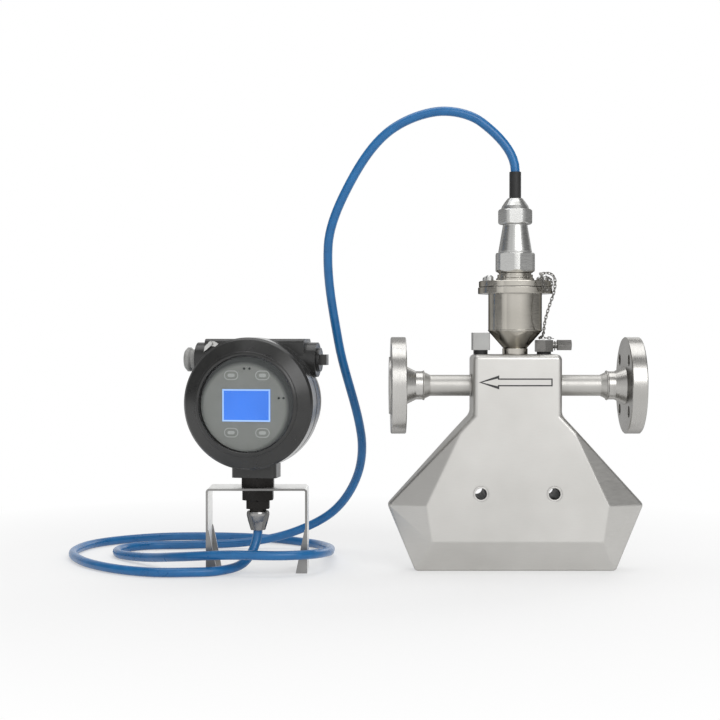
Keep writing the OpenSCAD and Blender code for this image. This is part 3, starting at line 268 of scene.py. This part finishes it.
cut_steel = metal(
    "cut_steel",
    dark=(0.22, 0.217, 0.213),
    light=(0.34, 0.336, 0.33),
    rough=0.40,
    grain=(900, 900, 900),
    edge=0.3 * MM,
)
gland_metal = metal(
    "gland_metal",
    dark=(0.022, 0.021, 0.020),
    light=(0.045, 0.043, 0.042),
    rough=0.30,
    grain=(300, 300, 700),
    edge=0.5 * MM,
)
cone_metal = metal(
    "cone_metal",
    dark=(0.28, 0.278, 0.275),
    light=(0.42, 0.415, 0.41),
    rough=0.20,
    grain=(300, 300, 90),
    edge=0.5 * MM,
    rim=0.12,
)
inner_steel = metal(
    "inner_steel",
    dark=(0.48, 0.48, 0.47),
    light=(0.58, 0.58, 0.57),
    rough=0.35,
    grain=(400, 400, 400),
    edge=0.3 * MM,
)
black_paint = moulded(
    "black_paint",
    dark=(0.014, 0.014, 0.014),
    light=(0.022, 0.022, 0.021),
    rough=0.30,
    texture_scale=1500,
    texture_height=0.03 * MM,
    edge=0.8 * MM,
    coat=0.2,
)
black_rubber = moulded(
    "black_rubber",
    dark=(0.010, 0.010, 0.010),
    light=(0.018, 0.018, 0.018),
    rough=0.55,
    texture_scale=1800,
    texture_height=0.03 * MM,
    edge=0.4 * MM,
)
arrow_ink = moulded(
    "arrow_ink",
    dark=(0.020, 0.020, 0.021),
    light=(0.035, 0.035, 0.036),
    rough=0.45,
    texture_scale=2200,
    texture_height=0.01 * MM,
    edge=0.1 * MM,
)
cable_jacket = moulded(
    "cable_jacket",
    dark=(0.006, 0.118, 0.325),
    light=(0.011, 0.155, 0.400),
    rough=0.30,
    texture_scale=700,
    texture_height=0.03 * MM,
    edge=0.4 * MM,
    coat=0.1,
)
key_ink = moulded(
    "key_ink",
    dark=(0.43, 0.415, 0.40),
    light=(0.50, 0.48, 0.465),
    rough=0.50,
    texture_scale=1600,
    texture_height=0.01 * MM,
    edge=0.1 * MM,
)
eye_black = moulded(
    "eye_black",
    dark=(0.006, 0.006, 0.006),
    light=(0.010, 0.010, 0.010),
    rough=0.30,
    texture_scale=1600,
    texture_height=0.01 * MM,
    edge=0.1 * MM,
)
grey_plastic = moulded(
    "grey_plastic",
    dark=(0.27, 0.27, 0.26),
    light=(0.34, 0.34, 0.33),
    rough=0.42,
    texture_scale=1300,
    texture_height=0.03 * MM,
    edge=0.5 * MM,
)
copper = metal(
    "copper",
    dark=(0.55, 0.27, 0.14),
    light=(0.68, 0.36, 0.20),
    rough=0.30,
    grain=(300, 300, 2200),
    edge=0.2 * MM,
)
board_green = moulded(
    "board_green",
    dark=(0.01, 0.10, 0.05),
    light=(0.015, 0.13, 0.065),
    rough=0.35,
    texture_scale=900,
    texture_height=0.02 * MM,
    edge=0.2 * MM,
)


def lit_screen(name, dark, light):
    """Backlit screen: nearly even light, with the same strength at every angle."""
    s = Shader(name)
    cloudy = s.noise(25.0, detail=1.0)
    colour = s.blend(s.remap(cloudy, 0, 1), dark, light)
    return s.principled(
        {
            "Base Color": (0.02, 0.05, 0.12, 1),
            "Roughness": 0.25,
            "Emission Color": colour,
            "Emission Strength": 1.0,
        }
    )


lcd_blue = lit_screen("lcd_blue", dark=(0.010, 0.152, 0.76), light=(0.016, 0.180, 0.86))
lcd_frame = lit_screen("lcd_frame", dark=(0.36, 0.56, 0.98), light=(0.42, 0.62, 1.0))


def clear_glass(name, straight_mirror=0.017):
    """Window glass as a thin reflecting sheet, so that it doesn't darken what is behind it.

    straight_mirror is the share of light that it mirrors where it is seen straight on.
    """
    s = Shader(name)
    ripple = s.bump(s.noise(18.0, detail=1.0), 0.02 * MM)
    gloss = s.node("BsdfGlossy", {"Color": (1, 1, 1, 1), "Roughness": 0.03, "Normal": ripple})
    through = s.node("BsdfTransparent", {"Color": (0.95, 0.97, 0.97, 1)})
    # A Fresnel node would mirror all of the light that leaves the sheet at a slant, because
    # nothing bends it here
    facing = s.node("LayerWeight", {"Blend": 0.5, "Normal": ripple}).outputs["Facing"]
    slant = s.node("Math", {0: facing, 1: 5.0}, operation="POWER").outputs["Value"]
    mirror = s.node(
        "Math",
        {0: slant, 1: 1 - straight_mirror, 2: straight_mirror},
        operation="MULTIPLY_ADD",
    )
    mixed = s.node(
        "MixShader",
        {0: mirror.outputs["Value"], 1: through.outputs["BSDF"], 2: gloss.outputs["BSDF"]},
    )
    s.tree.links.new(mixed.outputs["Shader"], s.output.inputs["Surface"])
    return s.material


glass = clear_glass("glass")


def gloss_rim(name):
    """The black finish where it is smoothest, on the turned rims: it mirrors a bright room."""
    s = Shader(name)
    cloudy = s.noise(60.0, detail=3.0)
    return s.principled(
        {
            "Base Color": s.blend(s.remap(cloudy, 0, 1), (0.014, 0.014, 0.014), (0.02, 0.02, 0.02)),
            "Roughness": s.remap(cloudy, 0.14, 0.20),
            "IOR": 2.3,
            "Normal": s.bump(s.noise(900), GRAIN_HEIGHT, normal=s.edges(0.6 * MM)),
        }
    )


black_rim = gloss_rim("black_rim")


def display_face(name, dark, light, bezel_shadow):
    """Grey printed face with a painted shadow of the bezel round its rim, darkest at the upper
    right.
    """
    s = Shader(name)
    cloudy = s.remap(s.noise(60.0, detail=3.0), 0, 1)
    # The painted shadow of the bezel is centred left of and below the face's middle, so it falls
    # deepest at the upper right
    left, down = 3 * MM, 4.5 * MM
    clear_radius, dark_radius = 48 * MM, 53.5 * MM
    middle = mesh_middle(nodes["display_plate"].data) - rightward * left - upward * down
    away = s.node("VectorMath", {0: s.position(), 1: middle}, operation="DISTANCE")
    shade = s.node("Mix", data_type="RGBA")
    # Painted shade: the face goes dark between these radii, where the bezel's shadow falls
    bezel_shadow_mask = s.remap(away.outputs["Value"], 0, 1, clear_radius, dark_radius)
    s.tree.links.new(bezel_shadow_mask, shade.inputs[0])
    s.tree.links.new(s.blend(cloudy, dark, light), shade.inputs[6])
    shade.inputs[7].default_value = (*bezel_shadow, 1)
    return s.principled(
        {
            "Base Color": shade.outputs[2],
            "Roughness": s.remap(cloudy, 0.46, 0.55, 0, 1),
            "Normal": s.bump(s.noise(1600, detail=2.0), 0.02 * MM, normal=s.edges(0.2 * MM)),
        }
    )


display_grey = display_face(
    "display_grey",
    dark=(0.235, 0.226, 0.210),
    light=(0.267, 0.256, 0.241),
    # colour of the painted shadow of the bezel at the face's rim
    bezel_shadow=(0.022, 0.022, 0.022),
)

# ---------------------------------------------------------------- CAD nodes

LOOKS = {
    case_steel: ["front_case_shell", "rear_case_shell"],
    # the sleeves' bores carry painted shade
    sleeve_painted_shade: ["case_through_sleeves"],
    flange_steel: ["inlet_flange", "outlet_flange"],
    turned_steel: ["inlet_pipe", "outlet_pipe"],
    cup_steel: ["connector_cup", "receptacle_flange"],
    bright_steel: [
        "receptacle_screws", "coupling_nut", "plug_body", "plug_clamp_nut", "cover_lock",
    ],
    plain_steel: ["purge_plug"],
    fitting_steel: ["purge_valve_body", "purge_valve_cap"],
    chain_steel: ["cap_chain"],
    bracket_steel: ["bracket"],
    cone_metal: ["gland_nut"],
    gland_metal: ["gland_body", "neck_adaptor", "bracket_lock_nut"],
    inner_steel: [
        "inlet_manifold", "outlet_manifold", "front_flow_tube", "rear_flow_tube", "brace_plates",
        "drive_magnet", "pickoff_magnets", "board_standoffs",
    ],
    copper: [
        "drive_coil", "pickoff_coils", "temperature_sensor", "sensor_wiring", "receptacle_pins",
    ],
    black_paint: [
        "transmitter_housing", "front_cover", "rear_cover", "window_retaining_ring",
        "right_conduit_plug",
    ],
    black_rubber: [
        "purge_plug_gasket", "purge_valve_gasket", "receptacle_gasket", "receptacle_insert",
        "plug_insert", "plug_seal", "cable_boot", "gland_seal", "front_cover_seal",
        "rear_cover_seal",
    ],
    arrow_ink: ["flow_arrow"],
    cable_jacket: ["signal_cable"],
    display_grey: ["display_plate"],
    lcd_blue: ["lcd_panel"],
    board_green: ["display_board", "main_board", "terminal_block"],
    grey_plastic: ["left_conduit_plug"],
    glass: ["window_glass"],
}
for material, names in LOOKS.items():
    for name in names:
        mesh = nodes[name].data
        mesh.materials.clear()
        mesh.materials.append(material)


def mark_raised(name, material, depth):
    """Gives material to a display node's faces that lie within depth of its frontmost plane."""
    mesh = nodes[name].data
    mesh.materials.append(material)
    front = max(v.co.dot(outward) for v in mesh.vertices)
    for face in mesh.polygons:
        if all(mesh.vertices[i].co.dot(outward) > front - depth for i in face.vertices):
            face.material_index = 1


mark_raised("display_plate", key_ink, 0.1 * MM)
mark_raised("lcd_panel", lcd_frame, 0.1 * MM)

# The display's four small eyes are blind holes, black inside, and lie well within its border
EYE_DEEPER_THAN = 0.5 * MM
EYES_WITHIN = 47 * MM
mesh = nodes["display_plate"].data
mesh.materials.append(eye_black)
front = max(v.co.dot(outward) for v in mesh.vertices)
middle = mesh_middle(mesh)
for face in mesh.polygons:
    deep = front - face.center.dot(outward) > EYE_DEEPER_THAN
    inside = (face.center - middle).length < EYES_WITHIN
    if deep and inside and face.normal.dot(outward) > -0.1:
        face.material_index = 2

# The sleeves' end faces are polished flush with the case and take its steel, so that only their
# bores keep the painted shade, and the bracket's cut edges are dark
for name, material in (("case_through_sleeves", case_steel), ("bracket", cut_steel)):
    mesh = nodes[name].data
    mesh.materials.append(material)
    for face in mesh.polygons:
        if abs(face.normal.y) > 0.9:
            face.material_index = 1

# The rims of the window cover and of the flange behind it are turned smooth
RIM_RADIUS_OVER = 76 * MM
axis = mesh_middle(nodes["front_cover"].data)
for name in ("front_cover", "transmitter_housing"):
    mesh = nodes[name].data
    mesh.materials.append(black_rim)
    for face in mesh.polygons:
        arm = face.center - axis
        arm -= outward * arm.dot(outward)
        if arm.length > RIM_RADIUS_OVER and abs(face.normal.dot(outward)) < 0.2:
            if face.normal.dot(arm.normalized()) > 0.95:
                face.material_index = 1

# ---------------------------------------------------------------- cable

# The same route as the source's cable, in millimetres
CABLE_D = 11
CABLE_ROUTE = [
    (-306, 0, 51), (-311, -6, 26), (-324, -22, 10), (-349, -47, 6), (-378, -57, 6), (-425, -57, 6),
    (-477, -26, 6), (-524, 35, 6), (-547, 112, 6), (-529, 190, 6), (-462, 245, 6), (-380, 254, 6),
    (-304, 231, 6), (-247, 184, 6), (-224, 122, 9), (-222, 60, 15), (-223, 4, 21), (-241, -38, 24),
    (-277, -56, 25), (-338, -51, 25), (-396, -24, 19), (-443, 32, 10), (-483, 83, 6),
    (-493, 117, 6), (-484, 145, 6), (-457, 165, 6), (-408, 171, 6), (-330, 176, 9), (-270, 174, 23),
    (-218, 154, 53), (-188, 124, 101), (-183, 96, 155), (-211, 54, 272), (-223, 30, 388),
    (-199, 20, 458), (-153, 12, 521), (-93, 5, 546), (-40, 2, 533), (0, 0, 475), (0, 0, 455),
]


def cable_curve(name):
    """A round curve through the route, with the same directions at its points as the source."""
    points = [Vector(p) * MM for p in CABLE_ROUTE]
    last = len(points) - 1
    curve = bpy.data.curves.new(name, "CURVE")
    curve.dimensions = "3D"
    curve.resolution_u = 10
    curve.bevel_depth = CABLE_D / 2 * MM
    curve.bevel_resolution = 6
    spline = curve.splines.new("BEZIER")
    spline.bezier_points.add(last)
    for i, (knot, p) in enumerate(zip(spline.bezier_points, points)):
        before = (p - points[i - 1]).length if i else 0
        after = (points[i + 1] - p).length if i < last else 0
        if 0 < i < last - 1:
            direction = (points[i + 1] - points[i - 1]) / (before + after)
        else:
            direction = Vector((0, 0, -1))
        knot.handle_left_type = knot.handle_right_type = "FREE"
        knot.co = p
        knot.handle_left = p - direction * before / 3
        knot.handle_right = p + direction * after / 3
    made = bpy.data.objects.new(name, curve)
    bpy.context.scene.collection.objects.link(made)
    return made


cable = cable_curve("blue_cable")
cable.data.materials.append(cable_jacket)
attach(cable, "meter")
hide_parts("signal_cable")

# ---------------------------------------------------------------- stage


def is_seen(tree):
    """1 for the rays that show the background: camera, mirror and glass rays."""
    path = tree.nodes.new("ShaderNodeLightPath")
    seen = path.outputs["Is Camera Ray"]
    for kind in ("Is Glossy Ray", "Is Transmission Ray"):
        both = tree.nodes.new("ShaderNodeMath")
        both.operation = "MAXIMUM"
        tree.links.new(seen, both.inputs[0])
        tree.links.new(path.outputs[kind], both.inputs[1])
        seen = both.outputs[0]
    return seen


FLOOR_REACH = 30
floor_corners = [(-1, -1), (1, -1), (1, 1), (-1, 1)]
floor_mesh = bpy.data.meshes.new("floor")
floor_mesh.from_pydata(
    [(x * FLOOR_REACH, y * FLOOR_REACH, 0) for x, y in floor_corners], [], [(0, 1, 2, 3)]
)
floor = bpy.data.objects.new("floor", floor_mesh)
bpy.context.scene.collection.objects.link(floor)

# White paper that takes the shadows near the object and fades to plain white round it
FADE_CENTRE = (-0.19, 0.05, 0)
FADE_START, FADE_END = 0.3, 0.8
NEAR_WHITE = 0.45
paper = Shader("floor_paper")
lit = paper.node("BsdfPrincipled", {"Base Color": (0.93, 0.93, 0.93, 1), "Roughness": 0.9})
white = paper.node("Emission", {"Color": (1, 1, 1, 1), "Strength": 1.0})
away = paper.node(
    "VectorMath", {0: paper.position(), 1: FADE_CENTRE}, operation="DISTANCE"
).outputs["Value"]
faded = paper.remap(away, NEAR_WHITE, 1, FADE_START, FADE_END)
far = paper.node("Math", {0: faded, 1: is_seen(paper.tree)}, operation="MULTIPLY").outputs[0]
sheet = paper.node("MixShader", {0: far, 1: lit.outputs["BSDF"], 2: white.outputs["Emission"]})
paper.tree.links.new(sheet.outputs["Shader"], paper.output.inputs["Surface"])
floor_mesh.materials.append(paper.material)

# A studio that is white in front and behind, and dimmer at the sides and overhead
SIDE_GREY = (0.22, 0.22, 0.22)
GREY_UP_TO, WHITE_FROM = 0.4, 0.95  # share of a direction that points forwards or backwards
world = bpy.data.worlds.new("studio")
bpy.context.scene.world = world
world.use_nodes = True
tree = world.node_tree
tree.nodes.clear()
direction = tree.nodes.new("ShaderNodeTexCoord")
split = tree.nodes.new("ShaderNodeSeparateXYZ")
depth = tree.nodes.new("ShaderNodeMath")
depth.operation = "ABSOLUTE"
tone = tree.nodes.new("ShaderNodeValToRGB")
side, end = tone.color_ramp.elements
side.position, side.color = GREY_UP_TO, (*SIDE_GREY, 1)
end.position, end.color = WHITE_FROM, (1, 1, 1, 1)
studio = tree.nodes.new("ShaderNodeBackground")
studio.inputs["Strength"].default_value = 1.0
world_output = tree.nodes.new("ShaderNodeOutputWorld")
tree.links.new(direction.outputs["Generated"], split.inputs[0])
tree.links.new(split.outputs["Y"], depth.inputs[0])
tree.links.new(depth.outputs[0], tone.inputs["Fac"])
tree.links.new(tone.outputs["Color"], studio.inputs["Color"])
tree.links.new(studio.outputs[0], world_output.inputs["Surface"])


def softbox(name, place, target, size, power):
    """Rectangular area lamp of a size in metres and a power in watts, turned to a target."""
    light = bpy.data.lights.new(name, "AREA")
    light.shape = "RECTANGLE"
    light.size, light.size_y = size
    light.energy = power
    made = bpy.data.objects.new(name, light)
    made.location = place
    made.rotation_mode = "QUATERNION"
    made.rotation_quaternion = (Vector(target) - Vector(place)).to_track_quat("-Z", "Y")
    bpy.context.scene.collection.objects.link(made)


middle_of_object = (-0.18, 0, 0.22)
softbox("key_front", (0.8, -2.2, 1.4), middle_of_object, (1.7, 1.4), 22)
softbox("fill_left", (-1.9, -1.4, 0.9), middle_of_object, (1.0, 1.4), 1.5)
softbox("top", (-0.2, 0.1, 1.9), middle_of_object, (1.8, 1.4), 16)
softbox("back", (0.9, 1.6, 1.0), middle_of_object, (1.2, 1.0), 5)

# ---------------------------------------------------------------- camera

CAMERA_PLACE = (-0.1845, -1.75, 0.274)
CAMERA_TILT_DOWN = math.radians(0.78)
LENS_MM = 73.5
camera_data = bpy.data.cameras.new("camera")
camera_data.sensor_width = 36
camera_data.lens = LENS_MM
camera_data.clip_start, camera_data.clip_end = 0.05, 60
camera = bpy.data.objects.new("camera", camera_data)
camera.location = CAMERA_PLACE
camera.rotation_euler = (math.radians(90) - CAMERA_TILT_DOWN, 0, 0)
bpy.context.scene.collection.objects.link(camera)
bpy.context.scene.camera = camera
bpy.context.scene.view_settings.view_transform = "Standard"
